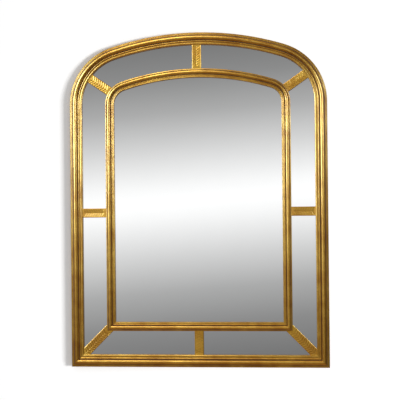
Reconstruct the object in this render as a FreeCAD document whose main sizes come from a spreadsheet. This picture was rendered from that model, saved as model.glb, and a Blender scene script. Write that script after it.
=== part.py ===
import FreeCAD, Part
import os

import Sketcher
from FreeCAD import Placement, Rotation, Vector

# Arched wall mirror in a gilt wood frame. A margin of eight small panes runs between
# an outer and an inner moulding, and a flat bar lies over each joint of the margin.
# The mirror faces -Y. The wall is the plane y = 0, and the origin is the middle of
# the frame's bottom edge on the wall. Heights of a section are measured from the wall
# towards the room, and insets from the frame's outer edge towards its middle.

# Driving sizes in millimetres and degrees
SIZES = {
    # Outline: an arch of three centres over two upright stiles
    "frame_width": 920,
    "frame_height": 1193,
    "crown_radius": 1024,
    "haunch_radius": 214,
    # Widths across the face, from the outer edge to the middle pane
    "outer_width": 44,
    "margin_width": 85,
    "inner_width": 31.5,
    # Depths from the wall
    "frame_depth": 33,
    "board_inset": 5,
    "board_thickness": 5,
    "board_gap": 1,
    "glass_thickness": 4,
    "glass_gap": 1,
    "lip_width": 9,
    # Outer moulding: reeded edge, torus, quirk, bead, groove and sight band
    "reed_band_width": 12,
    "reed_band_rise": 5.5,
    "reed_bulge": 0.8,
    "torus_step": 2.5,
    "torus_width": 15,
    "torus_rise": 6.2,
    "quirk_width": 2.5,
    "quirk_depth": 2.4,
    "bead_width": 5,
    "bead_rise": 2.2,
    "groove_width": 3,
    "groove_depth": 1.6,
    "sight_height": 7.5,
    "sight_bulge": 0.9,
    # Inner moulding: edge reed, torus, quirk, bead and reeded sight band
    "inner_edge_height": 7.2,
    "inner_reed_width": 6,
    "inner_reed_rise": 1.4,
    "inner_reed_bulge": 0.7,
    "inner_torus_step": 1.2,
    "inner_torus_width": 13,
    "inner_torus_rise": 5.6,
    "inner_quirk_width": 2,
    "inner_quirk_depth": 2.2,
    "inner_bead_width": 3.5,
    "inner_bead_rise": 1.6,
    "inner_sight_height": 7,
    "inner_sight_bulge": 0.5,
    # Bars over the joints of the margin
    "bar_width": 32.5,
    "bar_rise": 7,
    "bar_chamfer": 1.5,
    "bar_end_gap": 0.3,
    "side_bar_height": 552,
    "top_bar_angle": 34.5,
    # Loose tongues in the frames' joints
    "tongue_width": 20,
    "tongue_length": 36,
    "tongue_thickness": 5,
    "tongue_level": 9,
    "mitre_tongue_length": 24,
    "inner_tongue_width": 14,
    "inner_tongue_length": 20,
    "inner_tongue_thickness": 3,
    "inner_tongue_lift": 1.5,
    # Glazing points behind the backboard
    "point_width": 10,
    "point_length": 16,
    "point_thickness": 0.8,
    # Countersunk screws through the backboard
    "board_screw_length": 14,
    "board_screw_radius": 1.6,
    "board_screw_head_radius": 3.4,
    "board_screw_head_depth": 2,
    "screw_point_length": 3,
    # Strap hangers with swinging D-rings, in recesses in the stiles
    "hanger_drop": 81,
    "recess_depth": 10,
    "recess_side_room": 2,
    "recess_end_room": 4,
    "strap_width": 11,
    "strap_length": 40,
    "strap_thickness": 1.5,
    "upper_screw_drop": 12,
    "lower_screw_drop": 29,
    "strap_side_gap": 0.5,
    "ring_height": 19,
    "ring_corner_radius": 3,
    "wire_radius": 2,
    "wire_clearance": 0.06,
    "strap_screw_length": 15,
    "strap_screw_radius": 1.7,
    "strap_screw_head_radius": 3.2,
    "strap_screw_head_height": 2,
}
OUTER_REEDS = 3
SIGHT_REEDS = 2

# Expressions that several pieces share
CROWN_CENTRE = "(Size.frame_height - Size.crown_radius)"
HAUNCH_CENTRE = "(Size.frame_width / 2 - Size.haunch_radius)"
CENTRES_APART = "(Size.crown_radius - Size.haunch_radius)"
SPRINGING = f"({CROWN_CENTRE} + sqrt({CENTRES_APART}^2 - {HAUNCH_CENTRE}^2))"
CROWN_ANGLE = f"asin({HAUNCH_CENTRE} / {CENTRES_APART})"
GLASS_BACK = "(Size.board_inset + Size.board_thickness)"
GLASS_FRONT = f"({GLASS_BACK} + Size.glass_thickness)"
REBATE = "(Size.outer_width - Size.lip_width)"
MARGIN_END = "(Size.outer_width + Size.margin_width)"
INNER_SIGHT = f"({MARGIN_END} + Size.inner_width)"
INNER_MIDDLE = f"({MARGIN_END} + Size.inner_width / 2)"
TOP_BAR_ANGLE = "(Size.top_bar_angle * 1 deg)"

DOC = FreeCAD.newDocument("arched_mirror")
SHEET = DOC.addObject("Spreadsheet::Sheet", "Size")
NODES = []


def fill_sheet():
    """Writes each driving size to a cell of its own, under its name."""
    for row, (name, number) in enumerate(SIZES.items(), start=1):
        SHEET.set(f"A{row}", name)
        SHEET.set(f"B{row}", str(number))
        SHEET.setAlias(f"B{row}", name)
    DOC.recompute()


def bind(item, expressions):
    """Ties properties of an object to expressions on the sheet."""
    for name, expression in expressions.items():
        item.setExpression(name, expression)


def place(item, x="0", y="0", z="0", turn=None):
    """Places an object, turned about the Y axis by an expression in degrees."""
    if turn is not None:
        item.Placement = Placement(Vector(), Rotation(Vector(0, 1, 0), 1))
        bind(item, {"Placement.Rotation.Angle": turn})
    bind(item, {"Placement.Base.x": x, "Placement.Base.y": y, "Placement.Base.z": z})


def node(item):
    """Keeps an object as one of the mirror's sub-parts."""
    NODES.append(item)
    return item


def combine(kind, name, base, tool):
    """A boolean of two objects."""
    result = DOC.addObject(f"Part::{kind}", name)
    result.Base = base
    result.Tool = tool
    return result


def cut_by(name, stock, *tools):
    """The stock with every tool cut out of it in turn."""
    for step, tool in enumerate(tools, start=1):
        last = step == len(tools)
        stock = combine("Cut", name if last else f"{name}_cut_{step}", stock, tool)
    return stock


def fuse(name, pieces):
    """One solid made of several that meet."""
    result = DOC.addObject("Part::MultiFuse", name)
    result.Shapes = pieces
    return result


def group(name, pieces):
    """Several solids under one name."""
    result = DOC.addObject("Part::Compound", name)
    result.Links = pieces
    return result


def mirrored(name, source):
    """The left-hand twin of a right-hand object."""
    result = DOC.addObject("Part::Mirroring", name)
    result.Source = source
    result.Normal = Vector(1, 0, 0)
    return result


def with_twins(pieces):
    """Right-hand objects together with their left-hand twins."""
    return pieces + [mirrored(f"{piece.Name}_twin", piece) for piece in pieces]


def both_sides(right, left_name):
    """Keeps a right-hand sub-part and its left-hand twin."""
    node(right)
    node(mirrored(left_name, right))


def origin_plane(body, role):
    """One of a body's own origin planes."""
    return next(plane for plane in body.Origin.OriginFeatures if plane.Role == role)


def new_sketch(body, role, name):
    """An empty sketch on one of a body's origin planes."""
    sketch = body.newObject("Sketcher::SketchObject", name)
    sketch.AttachmentSupport = [(origin_plane(body, role), "")]
    sketch.MapMode = "FlatFace"
    return sketch


def section_sketch(body, name):
    """A sketch across a moulding: its x is the body's X, and its y points into the room."""
    sketch = new_sketch(body, "XY_Plane", name)
    sketch.AttachmentOffset = Placement(Vector(), Rotation(Vector(1, 0, 0), 180))
    return sketch


def tie_point(sketch, edge, end, x, y):
    """Ties one end of a sketch edge to its two coordinates."""
    for kind, axis, expression in (("DistanceX", -2, x), ("DistanceY", -1, y)):
        if expression == "0":
            sketch.addConstraint(Sketcher.Constraint("PointOnObject", edge, end, axis))
            continue
        number = SHEET.evalExpression(expression)
        index = sketch.addConstraint(Sketcher.Constraint(kind, -1, 1, edge, end, number))
        sketch.setExpression(f"Constraints[{index}]", expression)


def draw_outline(sketch, corners):
    """Draws a closed outline through corners given as x, y and bulge.

    The corners run anticlockwise. A bulge makes the edge that ends at its corner an arc
    which stands out from the straight line by that much.
    """
    points = [Vector(SHEET.evalExpression(x), SHEET.evalExpression(y), 0) for x, y, _ in corners]
    for edge, (x, y, bulge) in enumerate(corners):
        start, end = points[edge - 1], points[edge]
        if bulge is None:
            sketch.addGeometry(Part.LineSegment(start, end), False)
            continue
        run = end - start
        outward = Vector(run.y, -run.x, 0).normalize()
        crest = (start + end) / 2 + outward * SHEET.evalExpression(bulge)
        sketch.addGeometry(Part.Arc(start, crest, end), False)
    for edge, (x, y, bulge) in enumerate(corners):
        following = (edge + 1) % len(corners)
        sketch.addConstraint(Sketcher.Constraint("Coincident", edge, 2, following, 1))
        tie_point(sketch, edge, 2, x, y)
        if bulge is not None:
            before_x, before_y, _ = corners[edge - 1]
            chord = f"(({x}) - ({before_x}))^2 + (({y}) - ({before_y}))^2"
            radius = sketch.Geometry[edge].Radius
            index = sketch.addConstraint(Sketcher.Constraint("Radius", edge, radius))
            sketch.setExpression(f"Constraints[{index}]", f"({chord}) / (8 * {bulge}) + {bulge} / 2")


def outer_section():
    """Corners of the outer moulding as inset, height and bulge, from its back edge inwards."""
    torus_foot = "(Size.frame_depth - Size.torus_rise)"
    side_top = f"({torus_foot} - Size.torus_step - Size.reed_band_rise)"
    torus_end = "(Size.reed_band_width + Size.torus_width)"
    bead_start = f"({torus_end} + Size.quirk_width)"
    bead_end = f"({bead_start} + Size.bead_width)"
    bead_foot = f"({torus_foot} - Size.quirk_depth)"
    groove_floor = f"({bead_foot} - Size.groove_depth)"
    reeds = [
        (
            f"Size.reed_band_width * {reed} / {OUTER_REEDS}",
            f"{side_top} + Size.reed_band_rise * {reed} / {OUTER_REEDS}",
            "Size.reed_bulge",
        )
        for reed in range(1, OUTER_REEDS + 1)
    ]
    return [
        ("0", "0", None),
        ("0", side_top, None),
        *reeds,
        ("Size.reed_band_width", torus_foot, None),
        (torus_end, torus_foot, "Size.torus_rise"),
        (torus_end, bead_foot, None),
        (bead_start, bead_foot, None),
        (bead_end, bead_foot, "Size.bead_rise"),
        (bead_end, groove_floor, None),
        (f"{bead_end} + Size.groove_width", groove_floor, None),
        ("Size.outer_width", f"{GLASS_FRONT} + Size.sight_height", "Size.sight_bulge"),
        ("Size.outer_width", GLASS_FRONT, None),
        (REBATE, GLASS_FRONT, None),
        (REBATE, "0", None),
    ]


def inner_section():
    """Corners of the inner moulding, with lips over the panes on both sides of its stem."""
    edge_top = f"({GLASS_FRONT} + Size.inner_edge_height)"
    reed_top = f"({edge_top} + Size.inner_reed_rise)"
    torus_foot = f"({reed_top} + Size.inner_torus_step)"
    torus_end = "(Size.inner_reed_width + Size.inner_torus_width)"
    bead_start = f"({torus_end} + Size.inner_quirk_width)"
    bead_end = f"({bead_start} + Size.inner_bead_width)"
    bead_foot = f"({torus_foot} - Size.inner_quirk_depth)"
    sight_top = f"({GLASS_FRONT} + Size.inner_sight_height)"
    sight_reeds = [
        (
            f"{bead_end} + (Size.inner_width - {bead_end}) * {reed} / {SIGHT_REEDS}",
            f"{bead_foot} + ({sight_top} - {bead_foot}) * {reed} / {SIGHT_REEDS}",
            "Size.inner_sight_bulge",
        )
        for reed in range(1, SIGHT_REEDS + 1)
    ]
    return [
        ("0", GLASS_FRONT, None),
        ("0", edge_top, None),
        ("Size.inner_reed_width", reed_top, "Size.inner_reed_bulge"),
        ("Size.inner_reed_width", torus_foot, None),
        (torus_end, torus_foot, "Size.inner_torus_rise"),
        (torus_end, bead_foot, None),
        (bead_start, bead_foot, None),
        (bead_end, bead_foot, "Size.inner_bead_rise"),
        *sight_reeds,
        ("Size.inner_width", GLASS_FRONT, None),
        ("Size.inner_width - Size.lip_width", GLASS_FRONT, None),
        ("Size.inner_width - Size.lip_width", GLASS_BACK, None),
        ("Size.lip_width", GLASS_BACK, None),
        ("Size.lip_width", GLASS_FRONT, None),
    ]


def moulding_body(name, section, edge):
    """A body with a moulding's section, its outer edge at a distance from the body's axis."""
    body = DOC.addObject("PartDesign::Body", name)
    sketch = section_sketch(body, f"{name}_section")
    draw_outline(sketch, [(f"{edge} - ({inset})", height, bulge) for inset, height, bulge in section])
    return body, sketch


def sweep_straight(body, sketch, length, symmetric):
    """Runs a section straight along the body's Z axis."""
    pad = body.newObject("PartDesign::Pad", f"{body.Name}_run")
    pad.Profile = (sketch, [""])
    pad.SideType = "Symmetric" if symmetric else "One side"
    pad.Reversed = True
    bind(pad, {"Length": length})
    return pad


def sweep_round(body, sketch, angle, symmetric):
    """Turns a section about the body's Y axis."""
    turn = body.newObject("PartDesign::Revolution", f"{body.Name}_turn")
    turn.Profile = (sketch, [""])
    turn.ReferenceAxis = (sketch, ["V_Axis"])
    turn.Midplane = symmetric
    bind(turn, {"Angle": angle})
    return turn


def cut_mitre(body, edge, width, end, back):
    """Cuts one end of a straight moulding at 45 degrees, from its outer corner at end to back."""
    sketch = new_sketch(body, "XZ_Plane", f"{body.Name}_mitre_line")
    inside = f"{edge} - {width}"
    corners = [(edge, end, None), (inside, back, None), (inside, end, None)]
    draw_outline(sketch, corners)
    DOC.recompute()
    before = body.Shape.Volume
    pocket = body.newObject("PartDesign::Pocket", f"{body.Name}_mitre")
    pocket.Profile = (sketch, [""])
    pocket.Type = "ThroughAll"
    pocket.Reversed = True
    DOC.recompute()
    if body.Shape.Volume >= before:
        raise RuntimeError(f"the mitre of {body.Name} cuts nothing")
    return pocket


def frame_stock(prefix, section, inset, width):
    """The right stile, right haunch, crown and bottom rail of a frame, before their joints are cut."""
    edge = f"Size.frame_width / 2 - {inset}"

    stile, sketch = moulding_body(f"{prefix}_right_stile_stock", section, edge)
    sweep_straight(stile, sketch, f"{SPRINGING} - {inset}", symmetric=False)
    cut_mitre(stile, edge, width, "0", width)
    place(stile, z=inset)

    radius = f"Size.haunch_radius - {inset}"
    haunch, sketch = moulding_body(f"{prefix}_right_haunch_stock", section, radius)
    sweep_round(haunch, sketch, f"90 deg - {CROWN_ANGLE}", symmetric=False)
    place(haunch, x=HAUNCH_CENTRE, z=SPRINGING)

    crown, sketch = moulding_body(f"{prefix}_crown_stock", section, f"Size.crown_radius - {inset}")
    sweep_round(crown, sketch, f"2 * {CROWN_ANGLE}", symmetric=True)
    place(crown, z=CROWN_CENTRE, turn="-90 deg")

    rail, sketch = moulding_body(f"{prefix}_bottom_rail_stock", section, edge)
    sweep_straight(rail, sketch, f"2 * ({edge})", symmetric=True)
    mitre = cut_mitre(rail, edge, width, edge, f"{edge} - {width}")
    other_end = rail.newObject("PartDesign::Mirrored", f"{rail.Name}_other_mitre")
    other_end.Originals = [mitre]
    other_end.MirrorPlane = (origin_plane(rail, "XY_Plane"), [""])
    rail.Tip = other_end
    place(rail, z="Size.frame_width / 2", turn="90 deg")
    return {"stile": stile, "haunch": haunch, "crown": crown, "rail": rail}


def arch_plate(name, inset, level, thickness):
    """A flat plate with the frame's outline, drawn in by an inset, at a height from the wall."""
    body = DOC.addObject("PartDesign::Body", name)
    sketch = new_sketch(body, "XZ_Plane", f"{name}_outline")
    bind(sketch, {"AttachmentOffset.Base.z": level})
    value = SHEET.evalExpression
    half, foot = value(f"Size.frame_width / 2 - {inset}"), value(inset)
    spring, centre = value(SPRINGING), Vector(value(HAUNCH_CENTRE), value(SPRINGING), 0)
    crown_centre = Vector(0, value(CROWN_CENTRE), 0)
    crown_radius = value(f"Size.crown_radius - {inset}")
    haunch_radius = value(f"Size.haunch_radius - {inset}")
    toward = (centre - crown_centre).normalize()
    knee = crown_centre + toward * crown_radius
    middle = (toward + Vector(1, 0, 0)).normalize() * haunch_radius + centre

    def across(point):
        return Vector(-point.x, point.y, 0)

    right_foot, right_top = Vector(half, foot, 0), Vector(half, spring, 0)
    apex = crown_centre + Vector(0, crown_radius, 0)
    outline = [
        Part.LineSegment(across(right_foot), right_foot),
        Part.LineSegment(right_foot, right_top),
        Part.Arc(right_top, middle, knee),
        Part.Arc(knee, apex, across(knee)),
        Part.Arc(across(knee), across(middle), across(right_top)),
        Part.LineSegment(across(right_top), across(right_foot)),
    ]
    base, right, right_haunch, crown, left_haunch, left = range(len(outline))
    start, end, middle_point = 1, 2, 3
    for curve in outline:
        sketch.addGeometry(curve, False)
    for first, second in ((base, right), (right, right_haunch), (left_haunch, left), (left, base)):
        sketch.addConstraint(Sketcher.Constraint("Coincident", first, end, second, start))
    for first, second in ((right_haunch, crown), (crown, left_haunch)):
        sketch.addConstraint(Sketcher.Constraint("Tangent", first, end, second, start))
    sketch.addConstraint(Sketcher.Constraint("Vertical", right))
    sketch.addConstraint(Sketcher.Constraint("Vertical", left))
    sketch.addConstraint(Sketcher.Constraint("Symmetric", base, start, base, end, -2))
    pair = (left_haunch, middle_point, right_haunch, middle_point)
    sketch.addConstraint(Sketcher.Constraint("Symmetric", *pair, -2))
    for line, line_end, arc in ((right, end, right_haunch), (left, start, left_haunch)):
        sketch.addConstraint(Sketcher.Constraint("Horizontal", line, line_end, arc, middle_point))
    tie_point(sketch, base, end, f"Size.frame_width / 2 - {inset}", inset)
    tie_point(sketch, right_haunch, middle_point, HAUNCH_CENTRE, SPRINGING)
    index = sketch.addConstraint(Sketcher.Constraint("Radius", crown, crown_radius))
    sketch.setExpression(f"Constraints[{index}]", f"Size.crown_radius - {inset}")
    pad = body.newObject("PartDesign::Pad", f"{name}_pad")
    pad.Profile = (sketch, [""])
    bind(pad, {"Length": thickness})
    return body


def arch_ring(name, outer_inset, inner_inset, level, thickness):
    """The flat band between two arch outlines."""
    outside = arch_plate(f"{name}_outside", outer_inset, level, thickness)
    inside = arch_plate(f"{name}_inside", inner_inset, level, thickness)
    return combine("Cut", name, outside, inside)


def flat_box(name, x, z, turn, along, across, level, thickness):
    """A box flat to the wall about the point x, z. Its second side points turn degrees from upright."""
    box = DOC.addObject("Part::Box", name)
    bind(box, {"Length": along, "Width": thickness, "Height": across})
    corner_x = f"({x}) - ({along}) / 2 * cos({turn}) - ({across}) / 2 * sin({turn})"
    corner_z = f"({z}) + ({along}) / 2 * sin({turn}) - ({across}) / 2 * cos({turn})"
    place(box, corner_x, f"-({level}) - ({thickness})", corner_z, turn)
    return box


def on_crown(inset, angle):
    """The point on the crown at an inset, at an angle from upright."""
    radius = f"(Size.crown_radius - {inset})"
    return f"{radius} * sin({angle})", f"{CROWN_CENTRE} + {radius} * cos({angle})"


def on_haunch(inset, angle):
    """The point on the right haunch at an inset, at an angle from upright."""
    radius = f"(Size.haunch_radius - {inset})"
    return f"{HAUNCH_CENTRE} + {radius} * sin({angle})", f"{SPRINGING} + {radius} * cos({angle})"


def frame_tongues(prefix, start, middle, width, thickness, level, length, mitre_length):
    """Loose tongues across a frame's joints: at the springings, by the crown and in the mitres."""
    inset = f"({start} + {middle})"
    spring_x = f"Size.frame_width / 2 - {inset}"
    joints = {
        "springing": (spring_x, SPRINGING, "90 deg", length),
        "crown": (*on_crown(inset, CROWN_ANGLE), CROWN_ANGLE, length),
        "mitre": (spring_x, inset, "-45 deg", mitre_length),
    }
    tongues = [
        flat_box(f"{prefix}_{joint}_tongue", x, z, turn, along, width, level, thickness)
        for joint, (x, z, turn, along) in joints.items()
    ]
    return node(group(f"{prefix}_frame_tongues", with_twins(tongues)))


def glazing_points():
    """Flat points driven into the outer frame's rebate, against the back of the backboard."""
    stile_x = f"Size.frame_width / 2 - {REBATE}"
    haunch_angle = f"(90 deg + {CROWN_ANGLE}) / 2"
    crown_angle = f"{CROWN_ANGLE} * 2 / 3"
    right_hand = {
        "lower": (stile_x, f"{SPRINGING} / 4", "90 deg"),
        "middle": (stile_x, f"{SPRINGING} / 2", "90 deg"),
        "upper": (stile_x, f"{SPRINGING} * 3 / 4", "90 deg"),
        "haunch": (*on_haunch(REBATE, haunch_angle), haunch_angle),
        "crown": (*on_crown(REBATE, crown_angle), crown_angle),
        "rail": ("Size.frame_width / 4", REBATE, "0 deg"),
    }
    central = {
        "apex": (*on_crown(REBATE, "0 deg"), "0 deg"),
        "foot": ("0", REBATE, "0 deg"),
    }

    def drive(name, x, z, turn):
        level = "Size.board_inset - Size.point_thickness"
        sizes = ("Size.point_width", "Size.point_length", level, "Size.point_thickness")
        return flat_box(f"{name}_point", x, z, turn, *sizes)

    pairs = [drive(name, *where) for name, where in right_hand.items()]
    singles = [drive(name, *where) for name, where in central.items()]
    return node(group("glazing_points", with_twins(pairs) + singles))


def turned_part(kind, name, x, level, z, **sizes):
    """A round primitive that points from the wall into the room, its foot at a height from the wall."""
    item = DOC.addObject(f"Part::{kind}", name)
    item.Placement = Placement(Vector(), Rotation(Vector(1, 0, 0), 90))
    bind(item, sizes)
    place(item, x, f"-({level})", z)
    return item


def screw_shank(name, x, z, level, radius, length):
    """A screw's shank and its point, from a height inwards."""
    straight = f"{length} - Size.screw_point_length"
    tip = f"{level} + {straight}"
    shank = turned_part("Cylinder", f"{name}_shank", x, level, z, Radius=radius, Height=straight)
    point = turned_part(
        "Cone", f"{name}_tip", x, tip, z, Radius1=radius, Radius2="0", Height="Size.screw_point_length"
    )
    return [shank, point]


def board_screw(name, x, z):
    """A countersunk screw, its head flush with the back of the backboard."""
    neck = "Size.board_inset + Size.board_screw_head_depth"
    head = turned_part(
        "Cone",
        f"{name}_head",
        x,
        "Size.board_inset",
        z,
        Radius1="Size.board_screw_head_radius",
        Radius2="Size.board_screw_radius",
        Height="Size.board_screw_head_depth",
    )
    length = "Size.board_screw_length - Size.board_screw_head_depth"
    return fuse(name, [head] + screw_shank(name, x, z, neck, "Size.board_screw_radius", length))


def board_screws():
    """Screws through the backboard into the stem of the inner frame."""
    stile_x = f"Size.frame_width / 2 - {INNER_MIDDLE}"
    stile_run = f"({SPRINGING} - {INNER_MIDDLE})"
    haunch_angle = f"(90 deg + {CROWN_ANGLE}) / 2"
    right_hand = {
        "lower": (stile_x, f"{INNER_MIDDLE} + {stile_run} / 4"),
        "middle": (stile_x, f"{INNER_MIDDLE} + {stile_run} / 2"),
        "upper": (stile_x, f"{INNER_MIDDLE} + {stile_run} * 3 / 4"),
        "haunch": on_haunch(INNER_MIDDLE, haunch_angle),
        "rail": (f"({stile_x}) / 2", INNER_MIDDLE),
    }
    pairs = [board_screw(f"{name}_board_screw", *where) for name, where in right_hand.items()]
    apex = board_screw("apex_board_screw", *on_crown(INNER_MIDDLE, "0 deg"))
    return node(group("backboard_screws", with_twins(pairs) + [apex]))


HANGER_X = f"(Size.frame_width / 2 - {REBATE} / 2)"
HANGER_Z = f"({SPRINGING} - Size.hanger_drop)"
RING_HALF = "(Size.strap_width / 2 + Size.strap_side_gap + Size.ring_corner_radius)"
EYE_BORE = "(Size.wire_radius + Size.wire_clearance)"
EYE_RADIUS = f"({EYE_BORE} + Size.strap_thickness)"
EYE_LEVEL = f"(Size.recess_depth - {EYE_RADIUS})"


def hanger_recess():
    """The round-ended recess for a hanger in the back of the right stile."""
    radius = f"({RING_HALF} + Size.wire_radius + Size.recess_side_room)"
    low = f"({HANGER_Z} - Size.strap_length - Size.recess_end_room + {radius})"
    high = f"({HANGER_Z} + Size.ring_height + Size.recess_end_room - {radius})"
    middle = f"({low} + {high}) / 2"
    sides = (f"2 * {radius}", f"{high} - {low}", "0", "Size.recess_depth")
    trench = flat_box("recess_run", HANGER_X, middle, "0 deg", *sides)
    ends = [
        turned_part("Cylinder", name, HANGER_X, "0", z, Radius=radius, Height="Size.recess_depth")
        for name, z in (("recess_low_end", low), ("recess_high_end", high))
    ]
    return fuse("hanger_recess", [trench] + ends)


def strap_screws():
    """Pan-head screws through the straps into the floors of the recesses."""
    seat = "(Size.recess_depth - Size.strap_thickness)"
    screws = []
    for name, drop in (("upper", "Size.upper_screw_drop"), ("lower", "Size.lower_screw_drop")):
        z = f"{HANGER_Z} - {drop}"
        head = turned_part(
            "Cylinder",
            f"{name}_strap_screw_head",
            HANGER_X,
            f"{seat} - Size.strap_screw_head_height",
            z,
            Radius="Size.strap_screw_head_radius",
            Height="Size.strap_screw_head_height",
        )
        title = f"{name}_strap_screw"
        sizes = ("Size.strap_screw_radius", "Size.strap_screw_length")
        screws.append(fuse(title, [head] + screw_shank(title, HANGER_X, z, seat, *sizes)))
    return node(group("hanger_screws", with_twins(screws)))


def eye_cylinder(name, radius, length):
    """A cylinder along X through the eye of the right hanger."""
    item = DOC.addObject("Part::Cylinder", name)
    bind(item, {"Radius": radius, "Height": length})
    place(item, f"{HANGER_X} - ({length}) / 2", f"-{EYE_LEVEL}", HANGER_Z, "90 deg")
    return item


def hanger_strap(screws):
    """A strap rolled into an eye at its upper end and rounded at its lower end."""
    radius = "Size.strap_width / 2"
    run = f"(Size.strap_length - {radius})"
    level = "Size.recess_depth - Size.strap_thickness"
    plate = flat_box(
        "strap_plate",
        HANGER_X,
        f"{HANGER_Z} - {run} / 2",
        "0 deg",
        "Size.strap_width",
        run,
        level,
        "Size.strap_thickness",
    )
    sizes = {"Radius": radius, "Height": "Size.strap_thickness"}
    end = turned_part("Cylinder", "strap_end", HANGER_X, level, f"{HANGER_Z} - {run}", **sizes)
    roll = eye_cylinder("strap_roll", EYE_RADIUS, "Size.strap_width")
    bore = eye_cylinder("strap_bore", EYE_BORE, "2 * Size.strap_width")
    return cut_by("right_hanger_strap", fuse("strap_solid", [plate, end, roll]), bore, screws)


def hanger_ring():
    """A D-ring of round wire: a straight side in the strap's eye, two rounded corners and a bow."""
    corner = "Size.ring_corner_radius"
    bow_rise = f"(Size.ring_height - Size.wire_radius - {RING_HALF})"
    level = f"-{EYE_LEVEL}"

    def arc(name, x, rise, radius, start, sweep):
        item = DOC.addObject("Part::Torus", name)
        upright = Rotation(Vector(1, 0, 0), 90)
        item.Placement = Placement(Vector(), upright.multiply(Rotation(Vector(0, 0, 1), start)))
        item.Angle3 = sweep
        bind(item, {"Radius1": radius, "Radius2": "Size.wire_radius"})
        place(item, x, level, f"{HANGER_Z} + {rise}")
        return item

    def upright_wire(name, x):
        item = DOC.addObject("Part::Cylinder", name)
        bind(item, {"Radius": "Size.wire_radius", "Height": f"{bow_rise} - {corner}"})
        place(item, x, level, f"{HANGER_Z} + {corner}")
        return item

    pieces = [
        eye_cylinder("ring_base", "Size.wire_radius", f"2 * ({RING_HALF} - {corner})"),
        arc("ring_right_corner", f"{HANGER_X} + {RING_HALF} - {corner}", corner, corner, -90, 90),
        arc("ring_left_corner", f"{HANGER_X} - {RING_HALF} + {corner}", corner, corner, 180, 90),
        upright_wire("ring_right_side", f"{HANGER_X} + {RING_HALF}"),
        upright_wire("ring_left_side", f"{HANGER_X} - {RING_HALF}"),
        arc("ring_bow", HANGER_X, bow_rise, RING_HALF, 0, 180),
    ]
    return fuse("right_hanger_ring", pieces)


def margin_bars():
    """Where each bar on the right or the centre line starts, and its run inwards as a turn from upright."""
    top_right = (*on_haunch("0", f"90 deg - {TOP_BAR_ANGLE}"), f"-90 deg - {TOP_BAR_ANGLE}")
    return {
        "top": ("0", "Size.frame_height", "180 deg"),
        "top_right": top_right,
        "right": ("Size.frame_width / 2", "Size.side_bar_height", "-90 deg"),
        "bottom_right": ("Size.frame_width / 2", "0", "-45 deg"),
        "bottom": ("0", "0", "0 deg"),
    }


def bar_stock(name, x, z, turn):
    """A straight bar of T section from the frame's outer edge inwards, longer than the margin is wide."""
    body = DOC.addObject("PartDesign::Body", f"bar_{name}_stock")
    sketch = section_sketch(body, f"{body.Name}_section")
    bind(sketch, {"AttachmentOffset.Base.x": "-Size.bar_width / 2"})
    top = f"({GLASS_FRONT} + Size.bar_rise)"
    far_stem = "Size.bar_width - Size.lip_width"
    corners = [
        ("Size.lip_width", GLASS_BACK, None),
        (far_stem, GLASS_BACK, None),
        (far_stem, GLASS_FRONT, None),
        ("Size.bar_width", GLASS_FRONT, None),
        ("Size.bar_width", f"{top} - Size.bar_chamfer", None),
        ("Size.bar_width - Size.bar_chamfer", top, None),
        ("Size.bar_chamfer", top, None),
        ("0", f"{top} - Size.bar_chamfer", None),
        ("0", GLASS_FRONT, None),
        ("Size.lip_width", GLASS_FRONT, None),
    ]
    draw_outline(sketch, corners)
    sweep_straight(body, sketch, f"{INNER_SIGHT} * sqrt(2)", symmetric=False)
    place(body, x, "0", z, turn)
    return body


def bar_envelope():
    """The room for the bars: between the mouldings' edges in front, and under their lips behind."""
    front = arch_ring("bar_front_room", "Size.outer_width", MARGIN_END, GLASS_FRONT, "Size.bar_rise")
    under_outer = f"({REBATE} + Size.bar_end_gap)"
    under_inner = f"({MARGIN_END} + Size.lip_width - Size.bar_end_gap)"
    behind = arch_ring("bar_tongue_room", under_outer, under_inner, GLASS_BACK, "Size.glass_thickness")
    return fuse("bar_room", [front, behind])


def beside_bar(name, x, z, turn, side):
    """All the room on one side of a bar's stem, clear of it by the gap round a pane."""
    reach = "(2 * Size.frame_height)"
    clear = "(Size.bar_width / 2 - Size.lip_width + Size.glass_gap)"
    middle = f"{side} * ({clear} + {reach} / 2)"
    box_x = f"({x}) + {middle} * cos({turn})"
    box_z = f"({z}) - {middle} * sin({turn})"
    return flat_box(name, box_x, box_z, turn, reach, f"2 * {reach}", "0", "Size.frame_depth")


def margin_panes(bars):
    """The right-hand margin panes, each between two bars, and their left-hand twins."""
    under_outer = f"({REBATE} + Size.glass_gap)"
    under_inner = f"({MARGIN_END} + Size.lip_width - Size.glass_gap)"
    ring = arch_ring("margin_glass", under_outer, under_inner, GLASS_BACK, "Size.glass_thickness")
    sides = ("Size.frame_width / 2", "Size.frame_height", "0", "Size.frame_depth")
    half = flat_box("right_half", "Size.frame_width / 4", "Size.frame_height / 2", "0 deg", *sides)
    band = combine("Common", "right_margin_glass", ring, half)
    order = list(bars)
    places = ("top", "upper", "lower", "bottom")
    for where, before, after in zip(places, order, order[1:]):
        past = beside_bar(f"{where}_pane_start", *bars[before], side=-1)
        short_of = beside_bar(f"{where}_pane_end", *bars[after], side=1)
        part_way = combine("Common", f"{where}_pane_stock", band, past)
        pane = combine("Common", f"pane_{where}_right", part_way, short_of)
        both_sides(pane, f"pane_{where}_left")


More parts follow.
